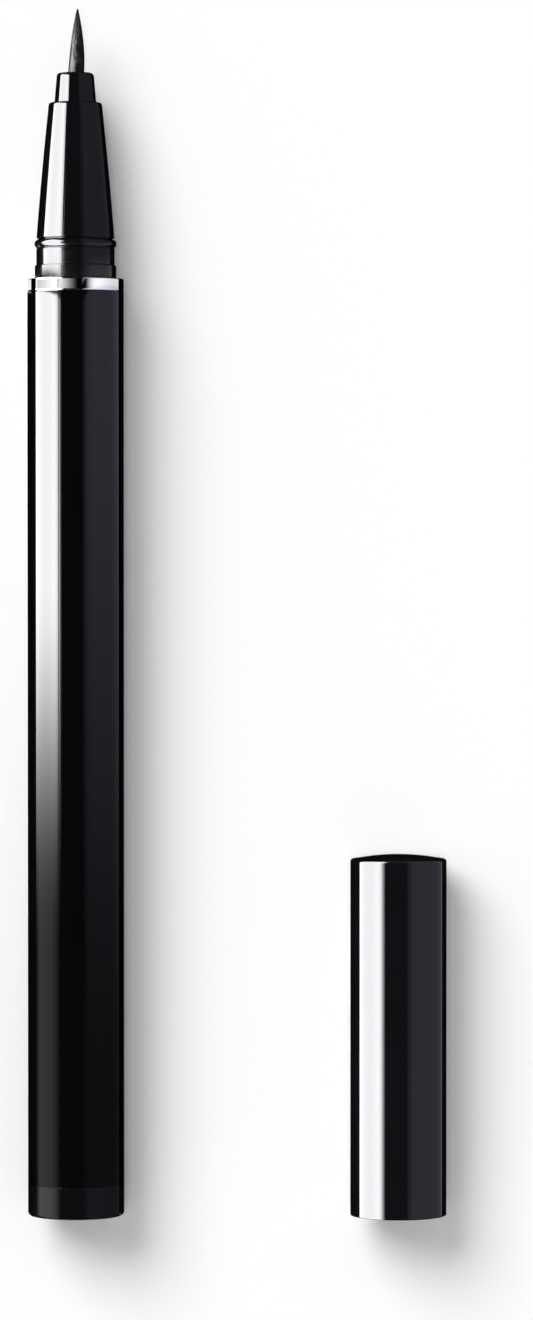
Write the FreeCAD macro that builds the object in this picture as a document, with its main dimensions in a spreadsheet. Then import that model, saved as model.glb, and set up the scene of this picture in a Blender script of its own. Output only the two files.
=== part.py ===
"""Liquid eyeliner pen lying on a surface, with its cap taken off and laid beside it.

The row frame has +Z up from the surface, +Y along the pen from its tail to its brush, and +X from the pen
to the cap. The origin is on the surface, midway between the two axes and halfway along the pen.

Every piece is drawn in the frame of its own axis, with heights measured from the tail face of the pen or
from the mouth of the cap, and is then laid down along +Y. All lengths are in millimetres.
"""
import FreeCAD, Part
import math
import os
import re

import Sketcher

# Sizes that can be set by themselves
SIZES = {
    # how the pen and the cap lie beside each other
    "axis_spacing": 34.9,
    # radial gap of pieces that are pressed together
    "fit_gap": 0.02,
    # barrel
    "barrel_diameter": 10.4,
    "barrel_length": 96.4,
    "barrel_wall": 1.2,
    "barrel_bevel": 0.06,
    # plug in the tail of the barrel
    "tail_head_length": 3.5,
    "tail_edge_radius": 0.4,
    "tail_seam_bevel": 0.08,
    "tail_spigot_length": 5.8,
    "tail_spigot_wall": 1.0,
    "tail_end_wall": 1.6,
    # bright ring in front of the barrel
    "ring_height": 1.35,
    "ring_edge_radius": 0.2,
    # nose: seat for the cap, neck, snap bead, groove and cone
    "seat_length": 1.45,
    "neck_length": 1.92,
    "neck_depth": 0.18,
    "bead_length": 0.8,
    "bead_rise": 0.2,
    "groove_length": 0.25,
    "groove_depth": 0.2,
    "cone_length": 14.58,
    "cone_base_diameter": 8.4,
    "cone_front_diameter": 5.7,
    "cone_edge_radius": 0.3,
    "nose_spigot_length": 7.0,
    "nose_wall": 0.9,
    # collar that holds the brush, with the notch that lets air in
    "collar_length": 3.2,
    "collar_base_diameter": 4.5,
    "collar_front_diameter": 3.95,
    "collar_edge_radius": 0.4,
    "collar_shank_diameter": 3.5,
    "collar_shank_length": 7.0,
    "vent_width": 0.5,
    "vent_depth": 0.25,
    # brush with its fused root
    "brush_diameter": 1.75,
    "brush_length": 6.95,
    "brush_point_diameter": 0.12,
    "brush_root_diameter": 2.6,
    "brush_root_length": 0.8,
    # wick
    "wick_diameter": 1.2,
    "wick_dip": 3.0,
    # finned collector
    "collector_length": 26.0,
    "collector_core_diameter": 3.4,
    "collector_flange_length": 1.2,
    "collector_stem_diameter": 2.6,
    "collector_stem_length": 11.0,
    "fin_thickness": 0.5,
    "fin_clearance": 0.12,
    "ink_slit_width": 0.35,
    "air_notch_width": 0.9,
    "air_notch_depth": 1.4,
    "nipple_diameter": 2.4,
    "nipple_reach": 3.0,
    # tank with its stopper and its seal
    "tank_clearance": 0.1,
    "tank_wall": 0.6,
    "partition_thickness": 1.2,
    "seal_diameter": 3.8,
    "seal_flange_diameter": 5.2,
    "seal_flange_length": 0.6,
    "stopper_flange_length": 1.2,
    "stopper_plug_length": 4.0,
    "stopper_wall": 0.9,
    # mixing ball
    "ball_diameter": 4.5,
    "ball_wall_gap": 0.1,
    "ball_rest_gap": 0.3,
    # cap shell
    "cap_length": 39.1,
    "cap_wall": 0.7,
    "cap_top_wall": 1.2,
    "cap_crown": 0.5,
    "cap_edge_radius": 0.6,
    "cap_mouth_bevel": 0.08,
    "cap_lead_in": 0.25,
    "cap_clearance": 0.1,
    "snap_rib_length": 0.8,
    "snap_rib_rise": 0.12,
    # sleeve in the cap
    "sleeve_length": 17.4,
    "sleeve_guide_length": 7.2,
    "sleeve_clearance": 0.1,
    # sealing cup in the sleeve
    "inner_cap_diameter": 6.0,
    "inner_cap_wall": 0.65,
    "inner_cap_reach": 10.3,
    "inner_cap_depth": 11.3,
    "inner_cap_mouth_bevel": 0.45,
    "inner_cap_flange_rise": 0.5,
    "inner_cap_flange_length": 0.8,
    "inner_cap_boss_diameter": 4.8,
    "inner_cap_boss_length": 1.7,
    # spring behind the sealing cup
    "spring_wire_diameter": 0.5,
    "spring_end_gap": 0.02,
    # how far a cutting profile runs past what it cuts
    "cut_overrun": 0.5,
}

# Numbers of repeated features
COUNTS = {
    "fin_count": 22,
    "spring_turns": 5,
}

# Sizes and places that follow from the ones above; heights run along the axis of the pen or of the cap
PLACES = {
    # pen outside, from the tail to the point of the brush
    "barrel_radius": "barrel_diameter / 2",
    "bore_radius": "barrel_radius - barrel_wall",
    "spigot_radius": "bore_radius - fit_gap",
    "barrel_back": "tail_head_length",
    "ring_back": "barrel_back + barrel_length",
    "seat_back": "ring_back + ring_height",
    "neck_back": "seat_back + seat_length",
    "bead_back": "neck_back + neck_length",
    "groove_back": "bead_back + bead_length",
    "cone_back": "groove_back + groove_length",
    "collar_back": "cone_back + cone_length",
    "brush_back": "collar_back + collar_length",
    "pen_length": "brush_back + brush_length",
    # the nose fits the bore of the cap
    "cap_radius": "barrel_radius",
    "cap_bore_radius": "cap_radius - cap_wall",
    "seat_radius": "cap_bore_radius - cap_clearance",
    "neck_radius": "seat_radius - neck_depth",
    "bead_round": "(bead_length ^ 2 / 4 + bead_rise ^ 2) / (2 * bead_rise)",
    "groove_radius": "neck_radius - groove_depth",
    "cone_base_radius": "cone_base_diameter / 2",
    "cone_front_radius": "cone_front_diameter / 2",
    "cone_slope": "(cone_base_radius - cone_front_radius) / cone_length",
    "cone_edge_side": "cone_front_radius + cone_slope * cone_edge_radius",
    # nose inside
    "nose_spigot_back": "ring_back - nose_spigot_length",
    "nose_bore_radius": "spigot_radius - nose_wall",
    "shank_radius": "collar_shank_diameter / 2",
    "shank_bore_radius": "shank_radius + fit_gap",
    "shank_back": "collar_back - collar_shank_length",
    "root_back": "shank_back - brush_root_length",
    # collar and brush
    "collar_base_radius": "collar_base_diameter / 2",
    "collar_front_radius": "collar_front_diameter / 2",
    "collar_slope": "(collar_base_radius - collar_front_radius) / collar_length",
    "collar_edge_side": "collar_front_radius + collar_slope * collar_edge_radius",
    "brush_radius": "brush_diameter / 2",
    "brush_bore_radius": "brush_radius + fit_gap",
    "brush_point_radius": "brush_point_diameter / 2",
    "brush_drop": "brush_radius - brush_point_radius",
    "brush_round": "(brush_length ^ 2 + brush_drop ^ 2) / (2 * brush_drop)",
    "brush_root_radius": "brush_root_diameter / 2",
    # collector between the nose and the tank
    "collector_front": "nose_spigot_back",
    "collector_back": "collector_front - collector_length",
    "stem_front": "collector_front + collector_stem_length",
    "stem_radius": "collector_stem_diameter / 2",
    "core_radius": "collector_core_diameter / 2",
    "fin_radius": "bore_radius - fin_clearance",
    "fins_back": "collector_back + collector_flange_length",
    "fins_front": "collector_front - collector_flange_length",
    "fin_gap": "(fins_front - fins_back - fin_count * fin_thickness) / (fin_count + 1)",
    "first_fin_back": "fins_back + fin_gap",
    "first_fin_front": "first_fin_back + fin_thickness",
    "fin_row_length": "(fin_count - 1) * (fin_thickness + fin_gap)",
    "air_notch_floor": "fin_radius - air_notch_depth",
    "wick_radius": "wick_diameter / 2",
    "wick_bore_radius": "wick_radius + fit_gap",
    # tank from the stopper to the collector
    "tank_radius": "bore_radius - tank_clearance",
    "tank_bore_radius": "tank_radius - tank_wall",
    "tank_front": "collector_back",
    "partition_back": "tank_front - partition_thickness",
    "seal_radius": "seal_diameter / 2",
    "seal_seat_radius": "seal_radius + fit_gap",
    "seal_flange_radius": "seal_flange_diameter / 2",
    "seal_back": "partition_back - seal_flange_length",
    "nipple_radius": "nipple_diameter / 2",
    "nipple_seat_radius": "nipple_radius + fit_gap",
    "nipple_back": "seal_back - nipple_reach",
    "wick_back": "nipple_back - wick_dip",
    "wick_length": "root_back - wick_back",
    "stopper_back": "barrel_back + tail_spigot_length",
    "tank_back": "stopper_back + stopper_flange_length",
    "stopper_front": "tank_back + stopper_plug_length",
    "stopper_radius": "tank_bore_radius - fit_gap",
    "stopper_core_radius": "stopper_radius - stopper_wall",
    "ball_radius": "ball_diameter / 2",
    "ball_place": "stopper_front + ball_rest_gap + ball_radius",
    "ball_drop": "tank_bore_radius - ball_radius - ball_wall_gap",
    "tail_core_radius": "spigot_radius - tail_spigot_wall",
    # cap from its mouth to its crowned end
    "cap_shoulder": "cap_length - cap_crown",
    "cap_flat_radius": "cap_radius - cap_edge_radius",
    "cap_crown_round": "(cap_flat_radius ^ 2 + cap_crown ^ 2) / (2 * cap_crown)",
    "cap_inner_top": "cap_length - cap_top_wall",
    "snap_rib_middle": "seat_length + neck_length / 2",
    "snap_rib_back": "snap_rib_middle - snap_rib_length / 2",
    "snap_rib_front": "snap_rib_middle + snap_rib_length / 2",
    "snap_rib_round": "(snap_rib_length ^ 2 / 4 + snap_rib_rise ^ 2) / (2 * snap_rib_rise)",
    "sleeve_radius": "cap_bore_radius - fit_gap",
    "sleeve_back": "cap_inner_top - sleeve_length",
    "sleeve_ledge": "sleeve_back + sleeve_guide_length",
    "inner_cap_radius": "inner_cap_diameter / 2",
    "inner_cap_bore_radius": "inner_cap_radius - inner_cap_wall",
    "inner_cap_mouth": "sleeve_ledge - inner_cap_reach",
    "inner_cap_bore_top": "inner_cap_mouth + inner_cap_depth",
    "inner_cap_flange_radius": "inner_cap_radius + inner_cap_flange_rise",
    "inner_cap_flange_top": "sleeve_ledge + inner_cap_flange_length",
    "inner_cap_boss_radius": "inner_cap_boss_diameter / 2",
    "inner_cap_boss_top": "inner_cap_flange_top + inner_cap_boss_length",
    "sleeve_guide_radius": "inner_cap_radius + sleeve_clearance",
    "sleeve_wide_radius": "inner_cap_flange_radius + sleeve_clearance",
    "spring_wire_radius": "spring_wire_diameter / 2",
    "spring_radius": "(inner_cap_boss_radius + sleeve_wide_radius) / 2",
    "spring_back": "inner_cap_flange_top + spring_wire_radius + spring_end_gap",
    "spring_front": "cap_inner_top - spring_wire_radius - spring_end_gap",
    # where the two axes lie
    "tail_y": "-pen_length / 2",
    "pen_x": "-axis_spacing / 2",
    "cap_x": "axis_spacing / 2",
}

# An axis laid down along +Y: the drawn z axis turns to +Y, and the drawn y axis points down
LAID_DOWN = FreeCAD.Rotation(FreeCAD.Vector(1, 0, 0), -90)

doc = FreeCAD.newDocument("eyeliner_pen")
sheet = doc.addObject("Spreadsheet::Sheet", "Sizes")
pieces = []


def fill_sheet():
    """Write the driving numbers, then the formulas that follow from them, each under its own alias."""
    cells = [(name, str(value)) for name, value in {**SIZES, **COUNTS}.items()]
    cells += [(name, "=" + formula) for name, formula in PLACES.items()]
    for row, (name, content) in enumerate(cells, start=1):
        sheet.set(f"A{row}", name)
        sheet.set(f"B{row}", content)
        sheet.setAlias(f"B{row}", name)
    doc.recompute()


def number(formula):
    """The present value of a formula in the names of the sheet."""
    return float(sheet.evalExpression(formula))


def bound(formula):
    """The same formula as another object of the document refers to it."""
    return re.sub(r"[a-z]\w*", r"Sizes.\g<0>", formula)


def origin_plane(body, role):
    """One of the origin planes of a body."""
    return next(feature for feature in body.Origin.OriginFeatures if feature.Role == role)


def lay_down(piece, across, along="tail_y", height="barrel_radius"):
    """Lay a piece along +Y, with the start of its axis at the given place, and keep it as a sub-part."""
    piece.Placement = FreeCAD.Placement(FreeCAD.Vector(), LAID_DOWN)
    piece.setExpression("Placement.Base.x", bound(across))
    piece.setExpression("Placement.Base.y", bound(along))
    piece.setExpression("Placement.Base.z", bound(height))
    pieces.append(piece)


def edge_between(start, end, radius):
    """A straight edge, or an arc that bulges to the right of the way from start to end."""
    first = FreeCAD.Vector(start[0], start[1], 0)
    last = FreeCAD.Vector(end[0], end[1], 0)
    if radius is None:
        return Part.LineSegment(first, last)
    chord = last - first
    to_centre = math.sqrt(max(radius ** 2 - chord.Length ** 2 / 4, 0))
    left = FreeCAD.Vector(-chord.y, chord.x, 0).normalize()
    centre = (first + last) / 2 + left * to_centre
    start_angle = math.atan2(first.y - centre.y, first.x - centre.x)
    end_angle = math.atan2(last.y - centre.y, last.x - centre.x)
    if end_angle < start_angle:
        end_angle += 2 * math.pi
    circle = Part.Circle(centre, FreeCAD.Vector(0, 0, 1), radius)
    return Part.ArcOfCircle(circle, start_angle, end_angle)


def outline_sketch(body, name, outline):
    """A closed outline of (radius, height) corners in the plane of a body's x and z axes.

    It runs with the material on its left. A third entry makes the edge that leaves the corner an arc of
    that radius, which bulges out of the material.
    """
    sketch = body.newObject("Sketcher::SketchObject", name)
    sketch.AttachmentSupport = [(origin_plane(body, "XZ_Plane"), "")]
    sketch.MapMode = "FlatFace"
    corners = [(number(corner[0]), number(corner[1])) for corner in outline]
    radii = [corner[2] if len(corner) > 2 else None for corner in outline]
    count = len(outline)
    for i in range(count):
        radius = None if radii[i] is None else number(radii[i])
        sketch.addGeometry(edge_between(corners[i], corners[(i + 1) % count], radius))
    for i in range(count):
        sketch.addConstraint(Sketcher.Constraint("Coincident", i, 2, (i + 1) % count, 1))
    for i, corner in enumerate(outline):
        for kind, formula, value, axis in zip(("DistanceX", "DistanceY"), corner, corners[i], (-2, -1)):
            if formula == "0":
                sketch.addConstraint(Sketcher.Constraint("PointOnObject", i, 1, axis))
            else:
                index = sketch.addConstraint(Sketcher.Constraint(kind, -1, 1, i, 1, value))
                sketch.setExpression(f"Constraints[{index}]", bound(formula))
        if radii[i] is not None:
            index = sketch.addConstraint(Sketcher.Constraint("Radius", i, number(radii[i])))
            sketch.setExpression(f"Constraints[{index}]", bound(radii[i]))
    doc.recompute()
    return sketch


def turn(body, name, outline):
    """Add the solid that an outline sweeps in a full turn about the axis of its body."""
    sketch = outline_sketch(body, name + "_outline", outline)
    turned = body.newObject("PartDesign::Revolution", name)
    turned.Profile = sketch
    turned.ReferenceAxis = (sketch, ["V_Axis"])
    turned.Angle = 360
    doc.recompute()
    return turned


def cut_slot(body, name, width, outline):
    """Cut a slot of the given width, centred on the plane of its outline."""
    volume_before = body.Shape.Volume
    sketch = outline_sketch(body, name + "_outline", outline)
    slot = body.newObject("PartDesign::Pocket", name)
    slot.Profile = sketch
    slot.Midplane = True
    slot.setExpression("Length", bound(width))
    doc.recompute()
    if not body.Shape.Volume < volume_before:
        raise RuntimeError(f"{name} cuts nothing")


def turned_piece(label, across, outline):
    """A body turned from one outline and laid down on the pen's axis or on the cap's."""
    body = doc.addObject("PartDesign::Body", label)
    turn(body, label + "_solid", outline)
    lay_down(body, across)
    return body


fill_sheet()

# Barrel: a plain tube between the tail plug and the ring
turned_piece("barrel", "pen_x", [
    ("bore_radius", "barrel_back"),
    ("barrel_radius - barrel_bevel", "barrel_back"),
    ("barrel_radius", "barrel_back + barrel_bevel"),
    ("barrel_radius", "ring_back - barrel_bevel"),
    ("barrel_radius - barrel_bevel", "ring_back"),
    ("bore_radius", "ring_back"),
])

# Tail plug: a head flush with the barrel, and a cored spigot that backs the tank
turned_piece("tail_plug", "pen_x", [
    ("0", "0"),
    ("barrel_radius - tail_edge_radius", "0", "tail_edge_radius"),
    ("barrel_radius", "tail_edge_radius"),
    ("barrel_radius", "barrel_back - tail_seam_bevel"),
    ("barrel_radius - tail_seam_bevel", "barrel_back"),
    ("spigot_radius", "barrel_back"),
    ("spigot_radius", "stopper_back"),
    ("tail_core_radius", "stopper_back"),
    ("tail_core_radius", "tail_end_wall"),
    ("0", "tail_end_wall"),
])

# Trim ring: held between the barrel and the seat of the nose, on the nose's spigot
turned_piece("trim_ring", "pen_x", [
    ("bore_radius", "ring_back"),
    ("barrel_radius - ring_edge_radius", "ring_back", "ring_edge_radius"),
    ("barrel_radius", "ring_back + ring_edge_radius"),
    ("barrel_radius", "seat_back - ring_edge_radius", "ring_edge_radius"),
    ("barrel_radius - ring_edge_radius", "seat_back"),
    ("bore_radius", "seat_back"),
])

# Nose cone: a spigot through the ring, the seat, neck and snap bead for the cap, and a hollow cone
turned_piece("nose_cone", "pen_x", [
    ("nose_bore_radius", "nose_spigot_back"),
    ("spigot_radius", "nose_spigot_back"),
    ("spigot_radius", "seat_back"),
    ("seat_radius", "seat_back"),
    ("seat_radius", "neck_back"),
    ("neck_radius", "neck_back"),
    ("neck_radius", "bead_back", "bead_round"),
    ("neck_radius", "groove_back"),
    ("groove_radius", "groove_back"),
    ("groove_radius", "cone_back"),
    ("cone_base_radius", "cone_back"),
    ("cone_edge_side", "collar_back - cone_edge_radius", "cone_edge_radius"),
    ("cone_front_radius - cone_edge_radius", "collar_back"),
    ("shank_bore_radius", "collar_back"),
    ("shank_bore_radius", "root_back"),
    ("nose_bore_radius", "cone_back"),
])

# Tip collar: a tapered head on the nose and a shank inside it, bored for the brush
tip_collar = turned_piece("tip_collar", "pen_x", [
    ("brush_bore_radius", "shank_back"),
    ("shank_radius", "shank_back"),
    ("shank_radius", "collar_back"),
    ("collar_base_radius", "collar_back"),
    ("collar_edge_side", "brush_back - collar_edge_radius", "collar_edge_radius"),
    ("collar_front_radius - collar_edge_radius", "brush_back"),
    ("brush_bore_radius", "brush_back"),
])
cut_slot(tip_collar, "vent_notch", "vent_width", [
    ("shank_radius - vent_depth", "shank_back - cut_overrun"),
    ("shank_radius + cut_overrun", "shank_back - cut_overrun"),
    ("shank_radius + cut_overrun", "collar_back"),
    ("collar_base_radius + cut_overrun", "collar_back"),
    ("collar_base_radius + cut_overrun", "collar_back + vent_depth"),
    ("shank_radius - vent_depth", "collar_back + vent_depth"),
])

# Brush: an ogive of fibres in front of the collar, its stem through the collar, and a fused root behind it
turned_piece("brush_tip", "pen_x", [
    ("0", "root_back"),
    ("brush_root_radius", "root_back"),
    ("brush_root_radius", "shank_back"),
    ("brush_radius", "shank_back"),
    ("brush_radius", "brush_back", "brush_round"),
    ("brush_point_radius", "pen_length"),
    ("0", "pen_length"),
])

# Wick: a fibre rod from the tank to the root of the brush
feed_wick = doc.addObject("Part::Cylinder", "feed_wick")
feed_wick.setExpression("Radius", bound("wick_radius"))
feed_wick.setExpression("Height", bound("wick_length"))
lay_down(feed_wick, "pen_x", along="tail_y + wick_back")

# Collector: a bored core with two flanges, a nipple into the tank and a stem into the nose, then the fins
ink_collector = turned_piece("ink_collector", "pen_x", [
    ("wick_bore_radius", "nipple_back"),
    ("nipple_radius", "nipple_back"),
    ("nipple_radius", "collector_back"),
    ("spigot_radius", "collector_back"),
    ("spigot_radius", "fins_back"),
    ("core_radius", "fins_back"),
    ("core_radius", "fins_front"),
    ("spigot_radius", "fins_front"),
    ("spigot_radius", "collector_front"),
    ("stem_radius", "collector_front"),
    ("stem_radius", "stem_front"),
    ("wick_bore_radius", "stem_front"),
])
fin = turn(ink_collector, "fin", [
    ("wick_bore_radius", "first_fin_back"),
    ("fin_radius", "first_fin_back"),
    ("fin_radius", "first_fin_front"),
    ("wick_bore_radius", "first_fin_front"),
])
fin_row = ink_collector.newObject("PartDesign::LinearPattern", "fin_row")
fin_row.Originals = [fin]
fin_row.Direction = (fin.Profile[0], ["V_Axis"])
fin_row.setExpression("Length", bound("fin_row_length"))
fin_row.setExpression("Occurrences", bound("fin_count"))
ink_collector.Tip = fin_row
doc.recompute()
cut_slot(ink_collector, "ink_slit", "ink_slit_width", [
    ("0", "fins_back"),
    ("spigot_radius + cut_overrun", "fins_back"),
    ("spigot_radius + cut_overrun", "fins_front"),
    ("0", "fins_front"),
])
cut_slot(ink_collector, "air_notch", "air_notch_width", [
    ("-spigot_radius - cut_overrun", "fins_back"),
    ("-air_notch_floor", "fins_back"),
    ("-air_notch_floor", "collector_front + cut_overrun"),
    ("-spigot_radius - cut_overrun", "collector_front + cut_overrun"),
])

# Tank: a tube in the barrel with a wall at its front, bored for the seal
turned_piece("ink_tank", "pen_x", [
    ("tank_bore_radius", "tank_back"),
    ("tank_radius", "tank_back"),
    ("tank_radius", "tank_front"),
    ("seal_seat_radius", "tank_front"),
    ("seal_seat_radius", "partition_back"),
    ("tank_bore_radius", "partition_back"),
])

# Seal: a flanged rubber ring between the wall of the tank and the nipple
turned_piece("tank_seal", "pen_x", [
    ("nipple_seat_radius", "seal_back"),
    ("seal_flange_radius", "seal_back"),
    ("seal_flange_radius", "partition_back"),
    ("seal_radius", "partition_back"),
    ("seal_radius", "tank_front"),
    ("nipple_seat_radius", "tank_front"),
])

# Stopper: a cored plug in the back of the tank, with a flange that the tail plug backs
turned_piece("tank_stopper", "pen_x", [
    ("stopper_core_radius", "stopper_back"),
    ("tank_radius", "stopper_back"),
    ("tank_radius", "tank_back"),
    ("stopper_radius", "tank_back"),
    ("stopper_radius", "stopper_front"),
    ("0", "stopper_front"),
    ("0", "stopper_front - stopper_wall"),
    ("stopper_core_radius", "stopper_front - stopper_wall"),
])

# Mixing ball: loose in the tank, low against its wall and near the stopper
mixing_ball = doc.addObject("Part::Sphere", "mixing_ball")
mixing_ball.setExpression("Radius", bound("ball_radius"))
lay_down(mixing_ball, "pen_x", along="tail_y + ball_place", height="barrel_radius - ball_drop")

# Cap shell: a tube with a crowned end, a lead-in at its mouth and a rib that snaps behind the bead
turned_piece("cap_shell", "cap_x", [
    ("cap_bore_radius + cap_lead_in", "0"),
    ("cap_radius - cap_mouth_bevel", "0"),
    ("cap_radius", "cap_mouth_bevel"),
    ("cap_radius", "cap_shoulder - cap_edge_radius", "cap_edge_radius"),
    ("cap_flat_radius", "cap_shoulder", "cap_crown_round"),
    ("0", "cap_length"),
    ("0", "cap_inner_top"),
    ("cap_bore_radius", "cap_inner_top"),
    ("cap_bore_radius", "snap_rib_front", "snap_rib_round"),
    ("cap_bore_radius", "snap_rib_back"),
    ("cap_bore_radius", "cap_lead_in"),
])

# Cap sleeve: a guide for the inner cap, with the ledge that stops it
turned_piece("cap_sleeve", "cap_x", [
    ("sleeve_guide_radius", "sleeve_back"),
    ("sleeve_radius", "sleeve_back"),
    ("sleeve_radius", "cap_inner_top"),
    ("sleeve_wide_radius", "cap_inner_top"),
    ("sleeve_wide_radius", "sleeve_ledge"),
    ("sleeve_guide_radius", "sleeve_ledge"),
])

# Inner cap: a cup that closes over the brush, with a flange on the ledge and a boss inside the spring
turned_piece("inner_cap", "cap_x", [
    ("inner_cap_bore_radius + inner_cap_mouth_bevel", "inner_cap_mouth"),
    ("inner_cap_radius", "inner_cap_mouth"),
    ("inner_cap_radius", "sleeve_ledge"),
    ("inner_cap_flange_radius", "sleeve_ledge"),
    ("inner_cap_flange_radius", "inner_cap_flange_top"),
    ("inner_cap_boss_radius", "inner_cap_flange_top"),
    ("inner_cap_boss_radius", "inner_cap_boss_top"),
    ("0", "inner_cap_boss_top"),
    ("0", "inner_cap_bore_top"),
    ("inner_cap_bore_radius", "inner_cap_bore_top"),
    ("inner_cap_bore_radius", "inner_cap_mouth + inner_cap_mouth_bevel"),
])


def helix_point(turns):
    """A point on the centre line of the spring, and the way it runs there, after so many turns."""
    radius = number("spring_radius")
    back = number("spring_back")
    pitch = (number("spring_front") - back) / number("spring_turns")
    angle = 2 * math.pi * turns
    point = FreeCAD.Vector(radius * math.cos(angle), radius * math.sin(angle), back + pitch * turns)
    way = FreeCAD.Vector(-radius * math.sin(angle), radius * math.cos(angle), pitch / (2 * math.pi))
    return point, way.normalize()


def tangent_arc(start, corner, end):
    """The arc from start to end whose two end tangents meet in the corner."""
    weight = (end - start).Length / (2 * (corner - start).Length)
    middle = (start + corner * (2 * weight) + end) / (2 + 2 * weight)
    return Part.Arc(start, middle, end).toShape()


def biarc(start, start_way, end, end_way):
    """Two arcs that meet smoothly and carry one point and direction into the other."""
    chord = end - start
    along = chord.dot(start_way + end_way)
    spread = 2 * (1 - start_way.dot(end_way))
    reach = (math.sqrt(along ** 2 + spread * chord.dot(chord)) - along) / spread
    first_corner = start + start_way * reach
    second_corner = end - end_way * reach
    joint = (first_corner + second_corner) / 2
    return [tangent_arc(start, first_corner, joint), tangent_arc(joint, second_corner, end)]


def spring_solid():
    """One round wire along a helix of quarter-turn biarcs, with its least gap to itself printed."""
    wire_radius = number("spring_wire_radius")
    quarter_count = int(4 * number("spring_turns"))
    stations = [helix_point(i / 4) for i in range(quarter_count + 1)]
    edges = []
    for (start, start_way), (end, end_way) in zip(stations, stations[1:]):
        edges += biarc(start, start_way, end, end_way)
    path = Part.Wire(edges)
    section = Part.Wire(Part.Circle(stations[0][0], stations[0][1], wire_radius).toShape())
    shell = Part.BRepOffsetAPI.MakePipeShell(path)
    shell.add(section)
    shell.build()
    shell.makeSolid()
    solid = shell.shape()
    expected = math.pi * wire_radius ** 2 * path.Length
    if abs(solid.Volume - expected) > expected / 100:
        raise RuntimeError("the wire of the spring is not a plain tube along its path")
    points = [helix_point(i / 36)[0] for i in range(36 * quarter_count // 4 + 1)]
    gaps = [points[i].distanceToPoint(other) for i in range(len(points)) for other in points[i + 18:]]
    print(f"least gap between turns of the spring: {min(gaps) - 2 * wire_radius:.2f} mm")
    return solid


# Spring: between the flange of the inner cap and the end of the cap, around the boss
cap_spring = doc.addObject("Part::Feature", "cap_spring")
cap_spring.Shape = spring_solid()
lay_down(cap_spring, "cap_x")

doc.recompute()
for item in doc.Objects:
    if "Invalid" in item.State or "Error" in item.State:
        raise RuntimeError(f"{item.Label} failed: {item.State}")
for piece in pieces:
    if piece.Shape.isNull() or not piece.Shape.isValid() or len(piece.Shape.Solids) != 1:
        raise RuntimeError(f"{piece.Label} is not one valid solid")

os.makedirs("parts", exist_ok=True)
for piece in pieces:
    piece.Shape.exportStep(f"parts/{piece.Label}.step")
    print(f"{piece.Label}: {piece.Shape.Volume:.1f} mm3")
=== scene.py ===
"""Looks of a slim liquid eyeliner pen that lies beside its cap.

Outlines are in millimetres: a radius from the axis of the pen or of the cap, and a station along that
axis from the tail of the pen or from the mouth of the cap. Meshes are in metres, in the frame of the solids.
"""

import math

import bpy
import numpy as np
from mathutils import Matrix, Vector


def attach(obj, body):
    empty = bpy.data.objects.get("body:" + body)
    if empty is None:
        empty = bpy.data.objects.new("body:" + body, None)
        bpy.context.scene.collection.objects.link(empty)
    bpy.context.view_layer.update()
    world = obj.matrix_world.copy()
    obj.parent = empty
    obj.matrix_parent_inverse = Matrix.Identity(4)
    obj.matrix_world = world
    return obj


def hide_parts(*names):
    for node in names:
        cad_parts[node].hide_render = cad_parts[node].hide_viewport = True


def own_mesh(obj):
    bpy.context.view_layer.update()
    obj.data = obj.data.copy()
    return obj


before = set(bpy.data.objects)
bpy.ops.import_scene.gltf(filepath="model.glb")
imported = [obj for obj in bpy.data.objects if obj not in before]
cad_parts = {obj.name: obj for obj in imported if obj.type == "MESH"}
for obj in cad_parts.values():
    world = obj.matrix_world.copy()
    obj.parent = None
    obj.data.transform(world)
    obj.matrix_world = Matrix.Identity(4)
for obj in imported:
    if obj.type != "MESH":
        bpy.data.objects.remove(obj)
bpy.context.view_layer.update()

MM = 0.001
PEN_X, CAP_X = -17.45, 17.45
AXIS_Z = 5.2
TAIL_Y = -65.2

# Stations along the pen
SEAM, RING_BACK, SEAT, NECK, BEAD, GROOVE, CONE, COLLAR, BRUSH, POINT = (
    3.5, 99.9, 101.25, 102.7, 104.62, 105.42, 105.67, 120.25, 123.45, 130.4)
PLUG_FLOOR, PLUG_FRONT = 1.6, SEAM + 5.8
NOSE_BACK, COLLAR_BACK, BRUSH_ROOT = RING_BACK - 7.0, COLLAR - 7.0, 112.45

# Stations along the cap
SNAP_FRONT, SNAP_BACK, CUP_LIP, SLEEVE_MOUTH, SLEEVE_STEP, CUP_FLANGE, CUP_FLOOR, CUP_END = (
    2.01, 2.81, 17.4, 20.5, 27.7, 28.5, 28.7, 30.2)
CAP_FLOOR, CAP_SHOULDER, CAP_END = 37.9, 38.6, 39.1

# Radii of the pen's pieces
BARREL_RADIUS, BARREL_BORE, SPIGOT_RADIUS, PLUG_BORE = 5.2, 4.0, 3.98, 2.98
SEAT_RADIUS, NECK_RADIUS, GROOVE_RADIUS, CONE_RADIUS, CONE_TIP_RADIUS = 4.4, 4.22, 3.99, 4.2, 2.85
NOSE_BORE, COLLAR_SOCKET, COLLAR_SPIGOT, COLLAR_BORE = 3.08, 1.77, 1.75, 0.895
BRUSH_RADIUS, BRUSH_POINT_RADIUS, BRUSH_ROOT_RADIUS = 0.875, 0.06, 1.3

# Radii of the cap's pieces
CAP_RADIUS, CAP_BORE = 5.2, 4.5
SLEEVE_RADIUS, SPRING_BORE, CUP_GUIDE_BORE = 4.48, 3.6, 3.1
CUP_RADIUS, CUP_BORE, FLANGE_RADIUS, CUP_END_RADIUS = 3.0, 2.35, 3.5, 2.4

# Shortest run of an outline that gets points of its own, and the distance of the first from a corner
SHORT_RUN, NEAR_CORNER = 0.12, 0.04


# ---------------------------------------------------------------- outlines and surfaces

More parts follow.
